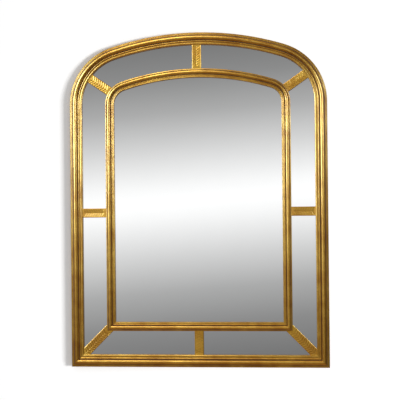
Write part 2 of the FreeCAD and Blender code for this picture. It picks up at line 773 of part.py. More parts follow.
def build_frames(points, screws, strap_screw_group):
    """The outer and inner frames, with the cuts for what is driven or let into them."""
    outer = frame_stock("outer", outer_section(), "0", "Size.outer_width")
    tongues = frame_tongues(
        "outer",
        "0",
        f"{REBATE} / 2",
        "Size.tongue_width",
        "Size.tongue_thickness",
        "Size.tongue_level",
        "Size.tongue_length",
        "Size.mitre_tongue_length",
    )
    recess = hanger_recess()
    stile = cut_by("outer_right_stile", outer["stile"], tongues, points, recess, strap_screw_group)
    both_sides(stile, "outer_left_stile")
    both_sides(cut_by("outer_right_haunch", outer["haunch"], tongues, points), "outer_left_haunch")
    node(cut_by("outer_crown", outer["crown"], tongues, points))
    node(cut_by("outer_bottom_rail", outer["rail"], tongues, points))

    inner = frame_stock("inner", inner_section(), MARGIN_END, "Size.inner_width")
    tongues = frame_tongues(
        "inner",
        MARGIN_END,
        "Size.inner_width / 2",
        "Size.inner_tongue_width",
        "Size.inner_tongue_thickness",
        f"{GLASS_FRONT} + Size.inner_tongue_lift",
        "Size.inner_tongue_length",
        "Size.inner_tongue_length",
    )
    both_sides(cut_by("inner_right_stile", inner["stile"], tongues, screws), "inner_left_stile")
    both_sides(cut_by("inner_right_haunch", inner["haunch"], tongues, screws), "inner_left_haunch")
    node(cut_by("inner_crown", inner["crown"], tongues, screws))
    node(cut_by("inner_bottom_rail", inner["rail"], tongues, screws))


def build_mirror():
    """Every sub-part of the mirror."""
    fill_sheet()
    points = glazing_points()
    screws = board_screws()
    strap_screw_group = strap_screws()
    build_frames(points, screws, strap_screw_group)

    bars = margin_bars()
    room = bar_envelope()
    for name, where in bars.items():
        bar = combine("Common", f"bar_{name}", bar_stock(name, *where), room)
        if name.endswith("right"):
            both_sides(bar, f"bar_{name.replace('right', 'left')}")
        else:
            node(bar)

    margin_panes(bars)
    under_sight = f"({INNER_SIGHT} - Size.lip_width + Size.glass_gap)"
    node(arch_plate("pane_centre", under_sight, GLASS_BACK, "Size.glass_thickness"))
    board_edge = f"({REBATE} + Size.board_gap)"
    board = arch_plate("board_stock", board_edge, "Size.board_inset", "Size.board_thickness")
    node(cut_by("backboard", board, screws))

    both_sides(hanger_strap(strap_screw_group), "left_hanger_strap")
    both_sides(hanger_ring(), "left_hanger_ring")
    DOC.recompute()


def write_parts():
    """Checks every object, then writes each sub-part to a file named after it."""
    for item in DOC.Objects:
        if {"Invalid", "Error"} & set(item.State):
            raise RuntimeError(f"{item.Name} failed: {item.State}")
    for item in NODES:
        if item.Shape.isNull() or not item.Shape.isValid() or not item.Shape.Solids:
            raise RuntimeError(f"{item.Label} has no sound solid")
    os.makedirs("parts", exist_ok=True)
    for item in NODES:
        item.Shape.exportStep(f"parts/{item.Label}.step")
        print(f"{item.Label}: {len(item.Shape.Solids)} solids, {item.Shape.Volume / 1000:.1f} cm3")


build_mirror()
write_parts()
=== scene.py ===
import math
import random

import bmesh
import bpy
from mathutils import Matrix, Vector, noise


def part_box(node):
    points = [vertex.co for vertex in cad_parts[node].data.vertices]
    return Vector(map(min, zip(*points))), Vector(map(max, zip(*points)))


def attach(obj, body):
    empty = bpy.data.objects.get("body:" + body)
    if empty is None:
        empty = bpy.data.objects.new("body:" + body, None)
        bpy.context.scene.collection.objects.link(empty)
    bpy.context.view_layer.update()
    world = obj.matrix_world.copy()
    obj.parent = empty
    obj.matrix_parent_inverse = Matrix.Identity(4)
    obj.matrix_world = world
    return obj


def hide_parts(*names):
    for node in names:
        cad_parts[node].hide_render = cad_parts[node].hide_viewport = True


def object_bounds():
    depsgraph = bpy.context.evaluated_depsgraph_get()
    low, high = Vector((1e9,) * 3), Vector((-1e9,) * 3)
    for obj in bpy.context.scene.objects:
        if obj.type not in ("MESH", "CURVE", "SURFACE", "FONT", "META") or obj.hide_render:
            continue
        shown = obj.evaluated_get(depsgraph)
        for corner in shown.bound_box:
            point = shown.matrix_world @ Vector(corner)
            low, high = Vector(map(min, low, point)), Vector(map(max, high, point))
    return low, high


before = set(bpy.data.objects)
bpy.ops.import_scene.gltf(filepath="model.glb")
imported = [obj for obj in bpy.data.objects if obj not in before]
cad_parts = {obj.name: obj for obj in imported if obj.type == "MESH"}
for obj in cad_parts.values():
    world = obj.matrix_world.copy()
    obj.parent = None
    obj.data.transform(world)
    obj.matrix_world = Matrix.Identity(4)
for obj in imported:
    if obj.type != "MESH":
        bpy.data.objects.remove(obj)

# Arched wall mirror in a gilt wood frame. It faces -Y and hangs on the wall plane y = 0.
# A section's inset runs from the frame's outer edge towards its middle, and its height
# from the wall towards the room. Everything is in metres.
MM = 0.001
cad_low, cad_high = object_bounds()


def node_size(node, axis):
    """The length of a loaded node along one axis."""
    low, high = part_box(node)
    return (high - low)[axis]


X, Y, Z = range(3)

# Outline: two stiles, two haunches and a shallow crown
FRAME_WIDTH = cad_high.x - cad_low.x
FRAME_HEIGHT = cad_high.z
FRAME_DEPTH = -cad_low.y
CROWN_RADIUS = 1024 * MM
HAUNCH_RADIUS = 214 * MM
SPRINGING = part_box("outer_right_haunch")[0].z
CROWN_CENTRE = FRAME_HEIGHT - CROWN_RADIUS
HAUNCH_CENTRE = FRAME_WIDTH / 2 - HAUNCH_RADIUS
CROWN_ANGLE = math.asin(HAUNCH_CENTRE / (CROWN_RADIUS - HAUNCH_RADIUS))

# Widths across the face and heights from the wall
OUTER_WIDTH = node_size("outer_right_stile", X)
INNER_WIDTH = node_size("inner_right_stile", X)
MARGIN_END = FRAME_WIDTH / 2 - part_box("inner_right_stile")[1].x
GLASS_BACK = -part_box("pane_centre")[1].y
GLASS_FRONT = -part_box("pane_centre")[0].y
LIP_WIDTH = 9 * MM
REBATE = OUTER_WIDTH - LIP_WIDTH

# Outer moulding: reeded edge, torus, quirk, bead, groove and sight band
REED_BAND_WIDTH = 12 * MM
REED_BAND_RISE = 5.5 * MM
REED_BULGE = 0.8 * MM
OUTER_REEDS = 3
TORUS_STEP = 2.5 * MM
TORUS_WIDTH = 15 * MM
TORUS_RISE = 6.2 * MM
QUIRK_WIDTH = 2.5 * MM
QUIRK_DEPTH = 2.4 * MM
BEAD_WIDTH = 5 * MM
BEAD_RISE = 2.2 * MM
GROOVE_WIDTH = 3 * MM
GROOVE_DEPTH = 1.6 * MM
SIGHT_HEIGHT = 7.5 * MM
SIGHT_BULGE = 0.9 * MM

# Inner moulding: edge reed, torus, quirk, bead and reeded sight band
INNER_EDGE_HEIGHT = 7.2 * MM
INNER_REED_WIDTH = 6 * MM
INNER_REED_RISE = 1.4 * MM
INNER_REED_BULGE = 0.7 * MM
INNER_TORUS_STEP = 1.2 * MM
INNER_TORUS_WIDTH = 13 * MM
INNER_TORUS_RISE = 5.6 * MM
INNER_QUIRK_WIDTH = 2 * MM
INNER_QUIRK_DEPTH = 2.2 * MM
INNER_BEAD_WIDTH = 3.5 * MM
INNER_BEAD_RISE = 1.6 * MM
INNER_SIGHT_HEIGHT = 7 * MM
INNER_SIGHT_BULGE = 0.5 * MM
SIGHT_REEDS = 2

# Hand-worked surface of the mouldings
ARRIS_EASE = 0.45 * MM
ARRIS_SHARE = 0.4
ARRIS_TURN = math.radians(25)
ARC_STEP = 0.7 * MM
ARC_LEAST_STEPS = 4
STATION_STEP = 9 * MM
HAND_WAVE = 0.06 * MM
WAVES_ALONG = 28
WAVES_ACROSS = 160
SHARP_TURN = math.radians(38)
# The relief that sets the gilding's painted shade in recesses, and the darkening of the outer reeds
RELIEF_REACH = 3.6 * MM
FULL_RECESS = 7 * MM
REED_DARKENING = 0.62

# Bars over the joints of the margin, engraved with chevrons
BAR_WIDTH = node_size("bar_bottom", X)
BAR_FACE = -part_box("bar_bottom")[0].y
BAR_ROUND = 2.0 * MM
BAR_END_GAP = 0.3 * MM
SIDE_BAR_HEIGHT = (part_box("bar_right")[0].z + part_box("bar_right")[1].z) / 2
TOP_BAR_ANGLE = math.radians(34.5)
CHEVRON_PITCH = 8.7 * MM
CHEVRON_ARM = math.radians(58)
CHEVRON_DEPTH = 0.65 * MM
CHEVRON_BORDER = 1.6 * MM
PLAIN_OUTER_END = 4 * MM
PLAIN_INNER_END = 8 * MM
PLAIN_FADE = 2 * MM
STROKES = 24
STROKE_FORCE = (0.72, 1.0)
STROKE_SPREAD = 0.8
SPINE_WIDTH = 1.4 * MM
SPINE_DEPTH = 0.5 * MM
BAR_GRID = 0.65 * MM
BEND_STEPS = 4
# Painted shade on the bars: the darkening of the engraved strokes, of the rounded edges (partly
# rubbed leaf) and of the stem between the panes
CUT_SHADE = 0.55
BEND_WEAR_AND_SHADE = 0.45
STEM_SHADE_RELIEF = 0.2

# Screws with cross recesses
SCREW_SIDES = 24
SCREW_SHARP_TURN = math.radians(30)
SCREW_POINT = 3 * MM
SCREW_TIP = 0.1 * MM
RECESS_DEPTH = 1.1 * MM
RECESS_HALF_WIDTH = 0.45 * MM
RECESS_TAPER = 0.55

# Loaded pieces that stay: the panes, and the eased edges of others
PANES = [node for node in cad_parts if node.startswith("pane_")]
BEVEL_TURN = math.radians(40)
BEVEL_SEGMENTS = 2

# Colours in linear light, mostly the two that a finish mixes
MOULDING_LEAF = (0.92, 0.575, 0.080), (0.70, 0.350, 0.030)
BAR_LEAF = (0.97, 0.58, 0.055), (0.80, 0.39, 0.024)
BOLE = (0.11, 0.038, 0.006), (0.20, 0.080, 0.015)
OCHRE = (0.30, 0.155, 0.042), (0.56, 0.33, 0.09)
FRAME_WOOD = (0.60, 0.43, 0.26), (0.50, 0.33, 0.18)
BEECH = (0.70, 0.51, 0.34), (0.60, 0.41, 0.25)
PLYWOOD = (0.52, 0.36, 0.215), (0.42, 0.27, 0.145)
PLYWOOD_FIBRE = (0.30, 0.18, 0.09)
PLYWOOD_KNOT = (0.13, 0.065, 0.03)
SILVERING = (0.90, 0.905, 0.905), (0.885, 0.892, 0.892)
ZINC = (0.66, 0.66, 0.63), (0.50, 0.50, 0.46)
NICKEL = (0.72, 0.69, 0.63), (0.60, 0.57, 0.51)
STAGE_PAINT = (0.93, 0.93, 0.93), (0.95, 0.95, 0.95)
WHITE = (1.0, 1.0, 1.0)
DAYLIGHT = (0.87, 1.10, 1.72)
CEILING_LIGHT = (1.0, 0.96, 0.82)

# Finishes of a moulding, in the order of its material slots
GILT, EDGE, WOOD = range(3)


class NodeTree:
    """Short calls for the shader nodes that a finish or the world is made of."""

    def __init__(self, owner):
        owner.use_nodes = True
        self.nodes, self.links = owner.node_tree.nodes, owner.node_tree.links

    def add(self, kind, inputs=None, **settings):
        """A node with its settings, its inputs linked or set by name or number."""
        node = self.nodes.new(f"ShaderNode{kind}")
        for name, value in settings.items():
            setattr(node, name, value)
        self.feed(node, inputs or {})
        return node

    def feed(self, node, inputs):
        """Links sockets to a node's inputs, or sets their values."""
        for name, value in inputs.items():
            if isinstance(value, bpy.types.NodeSocket):
                self.links.new(value, node.inputs[name])
            else:
                node.inputs[name].default_value = value

    def ramp(self, value, *stops):
        """A curve through stops of position and grey level or colour."""
        node = self.add("ValToRGB", {"Fac": value})
        elements = node.color_ramp.elements
        while len(elements) < len(stops):
            elements.new(1.0)
        for element, (position, level) in zip(elements, stops):
            element.position = position
            element.color = (*level, 1) if isinstance(level, tuple) else (level, level, level, 1)
        return node.outputs["Color"]

    def math(self, operation, *values, clamp=False):
        """Arithmetic on numbers and sockets."""
        node = self.add("Math", operation=operation, use_clamp=clamp)
        self.feed(node, dict(enumerate(values)))
        return node.outputs[0]

    def mix(self, share, first, second, kind="MIX"):
        """A colour between two, or one multiplied by the other."""
        node = self.add("Mix", data_type="RGBA", blend_type=kind)
        colours = [(*c, 1) if isinstance(c, tuple) else c for c in (first, second)]
        self.feed(node, dict(zip((0, 6, 7), (share, *colours))))
        return node.outputs[2]


class Finish(NodeTree):
    """A material, its surface shader and the patterns that vary it."""

    def __init__(self, name):
        self.material = bpy.data.materials.new(name)
        super().__init__(self.material)
        self.shader = self.nodes["Principled BSDF"]

    def surface(self, **inputs):
        """Feeds the surface shader, by input names with underscores for spaces."""
        self.feed(self.shader, {name.replace("_", " "): value for name, value in inputs.items()})

    def place(self):
        """The point on the object, in metres."""
        return self.add("TexCoord").outputs["Object"]

    def run(self):
        """The distance along a piece and across its section, in metres."""
        return self.add("UVMap", uv_map="run").outputs["UV"]

    def relief(self):
        """How far a point stands out of its surroundings: 0 in a groove, 1 on a crest.

        The gilding is painted darker where it is low, as shade.
        """
        return self.add("Attribute", attribute_name="relief").outputs["Fac"]

    def stretch(self, vector, scale):
        """A vector scaled along each axis."""
        return self.add("Mapping", {"Vector": vector, "Scale": scale}).outputs["Vector"]

    def noise(self, vector, scale, detail=3.0, roughness=0.55, distortion=0.0):
        """Cloudy noise from 0 to 1."""
        inputs = {
            "Vector": vector,
            "Scale": scale,
            "Detail": detail,
            "Roughness": roughness,
            "Distortion": distortion,
        }
        return self.add("TexNoise", inputs).outputs["Fac"]

    def bump(self, height, strength, distance, before=None):
        """A normal roughened by a height."""
        inputs = {"Height": height, "Strength": strength, "Distance": distance}
        if before is not None:
            inputs["Normal"] = before
        return self.add("Bump", inputs).outputs["Normal"]


# Materials


def gilt(name, bright, deep, bole_level):
    """Gold leaf over red-brown bole: streaked along the run, flecked and worn.

    Its recesses are darkened, partly as bole showing there and partly as painted shade.
    """
    finish = Finish(name)
    place, run, relief = finish.place(), finish.run(), finish.relief()
    streaks = finish.noise(finish.stretch(run, (14, 420, 1)), 1.0, detail=2.0)
    clouds = finish.noise(place, 16.0, detail=5.0, roughness=0.6)
    grain = finish.noise(place, 420.0, detail=2.0, roughness=0.55)
    flecks = finish.noise(finish.stretch(run, (90, 420, 1)), 1.0, detail=2.0, roughness=0.5)

    # Painted shade: by the relief, the leaf turns to dark bole in grooves and recesses, partly bole
    # showing there and partly shade that falls there
    recess = finish.ramp(relief, (0.0, 1.0), (0.25, 0.75), (0.6, 0.2), (1.0, 0.0))
    uneven = finish.math("MULTIPLY_ADD", streaks, 0.5, finish.math("MULTIPLY", clouds, 0.55))
    patina_and_shade = finish.math("ADD", recess, finish.math("SUBTRACT", uneven, bole_level), clamp=True)
    rubbed = finish.ramp(flecks, (0.0, 0.0), (0.66, 0.0), (0.74, 0.75), (1.0, 0.9))
    patina_and_shade = finish.math("MAXIMUM", patina_and_shade, rubbed)

    leaf = finish.mix(finish.ramp(clouds, (0.35, 0.0), (0.65, 1.0)), bright, deep)
    bole = finish.mix(grain, *BOLE)
    colour = finish.mix(patina_and_shade, leaf, bole)
    metallic = finish.ramp(patina_and_shade, (0.0, 1.0), (0.5, 0.85), (1.0, 0.25))
    burnish = finish.ramp(grain, (0.3, 0.26), (0.7, 0.34))
    roughness = finish.math("MULTIPLY_ADD", patina_and_shade, 0.26, burnish)
    ripple = finish.bump(streaks, 0.07, 0.4 * MM)
    normal = finish.bump(grain, 0.03, 0.25 * MM, before=ripple)
    finish.surface(Base_Color=colour, Metallic=metallic, Roughness=roughness, Normal=normal)
    varnish = finish.ramp(patina_and_shade, (0.0, 1.0), (0.7, 0.15))
    finish.surface(Coat_Weight=varnish, Coat_IOR=1.6, Coat_Roughness=0.20, Coat_Normal=ripple)
    return finish.material


def worn_edge():
    """The frame's sides: ochre ground under thin, rubbed leaf."""
    finish = Finish("ochre_edge")
    place, run = finish.place(), finish.run()
    streaks = finish.noise(finish.stretch(run, (14, 500, 1)), 1.0, detail=4.0)
    clouds = finish.noise(place, 22.0, detail=5.0)
    wear = finish.ramp(finish.math("MULTIPLY", streaks, clouds), (0.16, 0.0), (0.38, 1.0))
    colour = finish.mix(wear, *OCHRE)
    metallic = finish.ramp(wear, (0.0, 0.3), (1.0, 0.85))
    roughness = finish.ramp(wear, (0.0, 0.62), (1.0, 0.42))
    normal = finish.bump(streaks, 0.25, 0.4 * MM)
    finish.surface(Base_Color=colour, Metallic=metallic, Roughness=roughness, Normal=normal)
    return finish.material


def bare_wood(name, pale, dark, along):
    """Planed wood with its grain along one axis."""
    finish = Finish(name)
    place = finish.place()
    warped = finish.stretch(place, tuple(5.0 if axis == along else 90.0 for axis in (X, Y, Z)))
    figure = finish.noise(warped, 1.0, detail=6.0, roughness=0.62, distortion=0.6)
    fibres = finish.noise(finish.stretch(warped, (9, 9, 9)), 1.0, detail=2.0)
    pores = finish.ramp(fibres, (0.0, 1.0), (0.34, 1.0), (0.44, 0.0))
    colour = finish.mix(finish.ramp(figure, (0.3, 0.0), (0.7, 1.0)), pale, dark)
    shadow = tuple(level * 0.55 for level in dark)
    colour = finish.mix(finish.math("MULTIPLY", pores, 0.4), colour, shadow)
    roughness = finish.ramp(figure, (0.3, 0.62), (0.7, 0.78))
    normal = finish.bump(fibres, 0.3, 0.3 * MM)
    finish.surface(Base_Color=colour, Roughness=roughness, Normal=normal)
    return finish.material


def plywood():
    """Rotary-cut plywood: broad wandering figure, upright fibres and a few small knots."""
    finish = Finish("plywood_back")
    place = finish.place()
    figure = finish.noise(finish.stretch(place, (10, 10, 1.6)), 1.0, detail=5.0, distortion=1.4)
    rings = finish.math("PINGPONG", finish.math("MULTIPLY", figure, 9.0), 1.0)
    fibres = finish.noise(finish.stretch(place, (520, 520, 16)), 1.0, detail=3.0)
    cells = finish.stretch(place, (3.2, 3.2, 2.0))
    knots = finish.add("TexVoronoi", {"Vector": cells, "Scale": 1.0})
    knot = finish.ramp(knots.outputs["Distance"], (0.0, 1.0), (0.035, 0.85), (0.07, 0.0))
    colour = finish.mix(rings, *PLYWOOD)
    colour = finish.mix(finish.math("MULTIPLY", fibres, 0.35), colour, PLYWOOD_FIBRE)
    colour = finish.mix(finish.math("MULTIPLY", knot, 0.6), colour, PLYWOOD_KNOT)
    roughness = finish.ramp(fibres, (0.3, 0.66), (0.7, 0.82))
    normal = finish.bump(fibres, 0.25, 0.3 * MM)
    finish.surface(Base_Color=colour, Roughness=roughness, Normal=normal)
    return finish.material


def mirror_glass():
    """Silvered glass: perfectly smooth, with a faintly cloudy silvering and the least ripple."""
    finish = Finish("silvered_glass")
    place = finish.place()
    haze = finish.noise(place, 9.0, detail=6.0, roughness=0.7)
    ripple = finish.noise(place, 3.0, detail=1.0)
    cloud = finish.ramp(haze, (0.3, 0.0), (0.75, 1.0))
    colour = finish.mix(cloud, *SILVERING)
    normal = finish.bump(ripple, 0.02, 0.2 * MM)
    finish.surface(Base_Color=colour, Roughness=0.0, Normal=normal, Metallic=1.0)
    return finish.material


def plated_steel(name, bright, dull, brushed):
    """Plated steel with fine brush marks and dulled patches."""
    finish = Finish(name)
    place = finish.place()
    marks = finish.noise(finish.stretch(place, (2600, 2600, 240)), 1.0, detail=2.0)
    patches = finish.noise(place, 160.0, detail=4.0, roughness=0.6)
    colour = finish.mix(finish.ramp(patches, (0.4, 0.0), (0.7, 1.0)), bright, dull)
    dulled = finish.ramp(patches, (0.3, brushed), (0.7, brushed + 0.16))
    roughness = finish.math("MULTIPLY_ADD", marks, 0.18, dulled)
    normal = finish.bump(marks, 0.12, 0.05 * MM)
    finish.surface(Base_Color=colour, Roughness=roughness, Normal=normal, Metallic=1.0)
    return finish.material


# Mouldings


def outer_corners():
    """Corners of the outer moulding as inset, height and bulge, from its back edge inwards."""
    torus_foot = FRAME_DEPTH - TORUS_RISE
    side_top = torus_foot - TORUS_STEP - REED_BAND_RISE
    torus_end = REED_BAND_WIDTH + TORUS_WIDTH
    bead_start = torus_end + QUIRK_WIDTH
    bead_end = bead_start + BEAD_WIDTH
    bead_foot = torus_foot - QUIRK_DEPTH
    groove_floor = bead_foot - GROOVE_DEPTH
    shares = [reed / OUTER_REEDS for reed in range(1, OUTER_REEDS + 1)]
    reeds = [
        (REED_BAND_WIDTH * share, side_top + REED_BAND_RISE * share, REED_BULGE)
        for share in shares
    ]
    return [
        (0, 0, 0),
        (0, side_top, 0),
        *reeds,
        (REED_BAND_WIDTH, torus_foot, 0),
        (torus_end, torus_foot, TORUS_RISE),
        (torus_end, bead_foot, 0),
        (bead_start, bead_foot, 0),
        (bead_end, bead_foot, BEAD_RISE),
        (bead_end, groove_floor, 0),
        (bead_end + GROOVE_WIDTH, groove_floor, 0),
        (OUTER_WIDTH, GLASS_FRONT + SIGHT_HEIGHT, SIGHT_BULGE),
        (OUTER_WIDTH, GLASS_FRONT, 0),
        (REBATE, GLASS_FRONT, 0),
        (REBATE, 0, 0),
    ]


def inner_corners():
    """Corners of the inner moulding, with lips over the panes on both sides of its stem."""
    edge_top = GLASS_FRONT + INNER_EDGE_HEIGHT
    reed_top = edge_top + INNER_REED_RISE
    torus_foot = reed_top + INNER_TORUS_STEP
    torus_end = INNER_REED_WIDTH + INNER_TORUS_WIDTH
    bead_start = torus_end + INNER_QUIRK_WIDTH
    bead_end = bead_start + INNER_BEAD_WIDTH
    bead_foot = torus_foot - INNER_QUIRK_DEPTH
    sight_drop = GLASS_FRONT + INNER_SIGHT_HEIGHT - bead_foot
    shares = [reed / SIGHT_REEDS for reed in range(1, SIGHT_REEDS + 1)]
    sight_run = INNER_WIDTH - bead_end
    reeds = [
        (bead_end + sight_run * share, bead_foot + sight_drop * share, INNER_SIGHT_BULGE)
        for share in shares
    ]
    return [
        (0, GLASS_FRONT, 0),
        (0, edge_top, 0),
        (INNER_REED_WIDTH, reed_top, INNER_REED_BULGE),
        (INNER_REED_WIDTH, torus_foot, 0),
        (torus_end, torus_foot, INNER_TORUS_RISE),
        (torus_end, bead_foot, 0),
        (bead_start, bead_foot, 0),
        (bead_end, bead_foot, INNER_BEAD_RISE),
        *reeds,
        (INNER_WIDTH, GLASS_FRONT, 0),
        (INNER_WIDTH - LIP_WIDTH, GLASS_FRONT, 0),
        (INNER_WIDTH - LIP_WIDTH, GLASS_BACK, 0),
        (LIP_WIDTH, GLASS_BACK, 0),
        (LIP_WIDTH, GLASS_FRONT, 0),
    ]


def arc_points(start, end, bulge):
    """Points after start on the arc to end that stands out to the left of the run by bulge."""
    run = end - start
    outward = Vector((-run.y, run.x)).normalized()
    radius = run.length_squared / (8 * bulge) + bulge / 2
    centre = (start + end) / 2 + outward * (bulge - radius)
    half = math.atan2(run.length / 2, radius - bulge)
    steps = max(ARC_LEAST_STEPS, math.ceil(2 * half * radius / ARC_STEP))
    along = run.normalized()
    angles = [half * (2 * step / steps - 1) for step in range(1, steps + 1)]
    return [
        centre + radius * (math.sin(angle) * along + math.cos(angle) * outward) for angle in angles
    ]


def eased(points):
    """A closed outline with its arrises rounded off a little."""
    result = []
    for index, point in enumerate(points):
        before = point - points[index - 1]
        after = points[(index + 1) % len(points)] - point
        if before.angle(after) < ARRIS_TURN:
            result.append(point)
            continue
        reach = min(ARRIS_EASE, ARRIS_SHARE * before.length, ARRIS_SHARE * after.length)
        first, last = point - before.normalized() * reach, point + after.normalized() * reach
        result += [first, (first + 2 * point + last) / 4, last]
    return result


def section_outline(corners):
    """A closed section as points of inset and height."""
    spots = [Vector((inset, height)) for inset, height, _ in corners]
    points = []
    for index, (_, _, bulge) in enumerate(corners):
        start, end = spots[index - 1], spots[index]
        points += arc_points(start, end, bulge) if bulge else [end]
    return eased(points)


def section_relief(points, reeded):
    """For each point of a section, how far it stands out of the deepest recess near it.

    Shallow recesses count for less than deep ones. The reeds along a moulding's outer edge count as
    lower than they are. The gilding is painted darker where this is low, as shade in the recesses.
    """
    levels = []
    face = [point for point in points if point.y > GLASS_FRONT]
    for point in points:
        near = [other.y for other in face if abs(other.x - point.x) <= RELIEF_REACH]
        low, high = min(near, default=point.y), max(near, default=point.y)
        level = 1 - (high - point.y) / max(high - low, FULL_RECESS)
        levels.append(level * REED_DARKENING if point.x < reeded else level)
    return levels


def finish_of(first, second):
    """The finish of a strip of a moulding between two points of its section."""
    middle = (first + second) / 2
    if middle.x < ARRIS_EASE / 4 and middle.y < FRAME_DEPTH / 2:
        return EDGE
    return WOOD if middle.y <= GLASS_FRONT + ARRIS_EASE / 4 else GILT


def hand_wave(x, height, z, inset):
    """A height with the slight unevenness of hand work, never above the true one."""
    if height <= GLASS_FRONT + ARRIS_EASE:
        return height
    wave = noise.noise(Vector((x * WAVES_ALONG, z * WAVES_ALONG, inset * WAVES_ACROSS)))
    return height - HAND_WAVE * (1 + wave) / 2


def finished(bm, name, materials, sharp=SHARP_TURN):
    """An object from a closed bmesh, shaded smooth but for its sharp edges."""
    bmesh.ops.recalc_face_normals(bm, faces=bm.faces)
    mesh = bpy.data.meshes.new(name)
    bm.to_mesh(mesh)
    bm.free()
    for material in materials:
        mesh.materials.append(material)
    mesh.shade_smooth()
    mesh.set_sharp_from_angle(angle=sharp)
    piece = bpy.data.objects.new(name, mesh)
    bpy.context.scene.collection.objects.link(piece)
    return piece


def sweep(name, outline, relief, spot, length, materials):
    """A moulding: its section carried along spot(share, inset), which gives x and z."""
    bm = bmesh.new()
    uv = bm.loops.layers.uv.new("run")
    relief_layer = bm.verts.layers.float.new("relief")
    across = [0.0]
    for index, point in enumerate(outline):
        across.append(across[-1] + (outline[(index + 1) % len(outline)] - point).length)
    stations = max(2, math.ceil(length / STATION_STEP))
    rings = []
    for station in range(stations + 1):
        ring = []
        for point, level in zip(outline, relief):
            x, z = spot(station / stations, point.x)
            vert = bm.verts.new((x, -hand_wave(x, point.y, z, point.x), z))
            vert[relief_layer] = level
            ring.append(vert)
        rings.append(ring)
    for station, (ring, following) in enumerate(zip(rings, rings[1:])):
        start, end = (length * step / stations for step in (station, station + 1))
        for index in range(len(outline)):
            other = (index + 1) % len(outline)
            face = bm.faces.new((ring[index], ring[other], following[other], following[index]))
            face.material_index = finish_of(outline[index], outline[other])
            corners = ((start, index), (start, index + 1), (end, index + 1), (end, index))
            for loop, (along, edge) in zip(face.loops, corners):
                loop[uv].uv = (along, across[edge])
    for ring in (rings[0], rings[-1]):
        bm.faces.new(ring).material_index = WOOD
    return finished(bm, name, materials)


def frame_members(edge, width):
    """Each member of a frame as its run, from share and inset to x and z, and the run's length."""
    half = FRAME_WIDTH / 2 - edge

    def stile(share, inset):
        foot = edge + inset
        return half - inset, foot + (SPRINGING - foot) * share

    def haunch(share, inset):
        angle = share * (math.pi / 2 - CROWN_ANGLE)
        radius = HAUNCH_RADIUS - edge - inset
        return HAUNCH_CENTRE + radius * math.cos(angle), SPRINGING + radius * math.sin(angle)

    def crown(share, inset):
        angle = (2 * share - 1) * CROWN_ANGLE
        radius = CROWN_RADIUS - edge - inset
        return radius * math.sin(angle), CROWN_CENTRE + radius * math.cos(angle)

    def rail(share, inset):
        return (2 * share - 1) * (half - inset), edge + inset

    def across(run):
        def twin(share, inset):
            x, z = run(share, inset)
            return -x, z

        return twin

    haunch_length = (HAUNCH_RADIUS - edge - width / 2) * (math.pi / 2 - CROWN_ANGLE)
    return {
        "right_stile": (stile, SPRINGING - edge),
        "left_stile": (across(stile), SPRINGING - edge),
        "right_haunch": (haunch, haunch_length),
        "left_haunch": (across(haunch), haunch_length),
        "crown": (crown, 2 * CROWN_ANGLE * (CROWN_RADIUS - edge)),
        "bottom_rail": (rail, 2 * half),
    }


def add_tube(bm, rings):
    """A tube through rings of points, with a face over each end."""
    rings = [[bm.verts.new(point) for point in ring] for ring in rings]
    for ring, following in zip(rings, rings[1:]):
        for index in range(len(ring)):
            other = (index + 1) % len(ring)
            bm.faces.new((ring[index], ring[other], following[other], following[index]))
    bm.faces.new(rings[0])
    bm.faces.new(rings[-1])


def carve(piece, cutter):
    """Cuts one mesh out of another for good."""
    cut = piece.modifiers.new("cut", "BOOLEAN")
    cut.operation, cut.solver, cut.object = "DIFFERENCE", "EXACT", cutter
    graph = bpy.context.evaluated_depsgraph_get()
    shape = bpy.data.meshes.new_from_object(piece.evaluated_get(graph))
    piece.modifiers.clear()
    piece.data = shape
    bpy.data.objects.remove(cutter)


def recess_cutter(side, materials):
    """The round-ended recess for a hanger, as a tool that cuts into the wall side of a stile."""
    strap_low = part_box(f"{side}_hanger_strap")[0]
    ring_low, ring_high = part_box(f"{side}_hanger_ring")
    side_room, end_room, clear = 2 * MM, 4 * MM, 1 * MM
    radius = (ring_high.x - ring_low.x) / 2 + side_room
    middle = (ring_low.x + ring_high.x) / 2
    foot, head = strap_low.z - end_room + radius, ring_high.z + end_room - radius
    bm = bmesh.new()
    steps = 24
    rim = []
    for centre, first in ((head, 0.0), (foot, math.pi)):
        for step in range(steps + 1):
            angle = first + math.pi * step / steps
            rim.append((middle + radius * math.cos(angle), centre + radius * math.sin(angle)))
    add_tube(bm, [[(x, y, z) for x, z in rim] for y in (clear, strap_low.y)])
    for face in bm.faces:
        face.material_index = WOOD
    return finished(bm, f"{side}_recess_tool", materials)


def place_piece(piece, slot, *nodes):
    """Fixes a piece to the frame's body in place of loaded nodes."""
    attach(piece, "frame")
    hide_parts(*nodes)


def make_mouldings(gold):
    """The twelve members of the two frames."""
    woods = {
        "stile": bare_wood("stile_wood", *FRAME_WOOD, along=Z),
        "rail": bare_wood("rail_wood", *FRAME_WOOD, along=X),
    }
    edge_finish = worn_edge()
    frames = (
        ("outer", 0.0, OUTER_WIDTH, REED_BAND_WIDTH, outer_corners()),
        ("inner", MARGIN_END, INNER_WIDTH, INNER_REED_WIDTH, inner_corners()),
    )
    for ring, edge, width, reeded, corners in frames:
        outline = section_outline(corners)
        relief = section_relief(outline, reeded)
        for member, (run, length) in frame_members(edge, width).items():
            wood = woods["stile" if member.endswith("stile") else "rail"]
            materials = (gold, edge_finish, wood)
            node = f"{ring}_{member}"
            piece = sweep(f"gilt_{node}", outline, relief, run, length, materials)
            if ring == "outer" and member.endswith("stile"):
                carve(piece, recess_cutter(member.split("_")[0], materials))
            place_piece(piece, "gilt_moulding", node)


# Bars


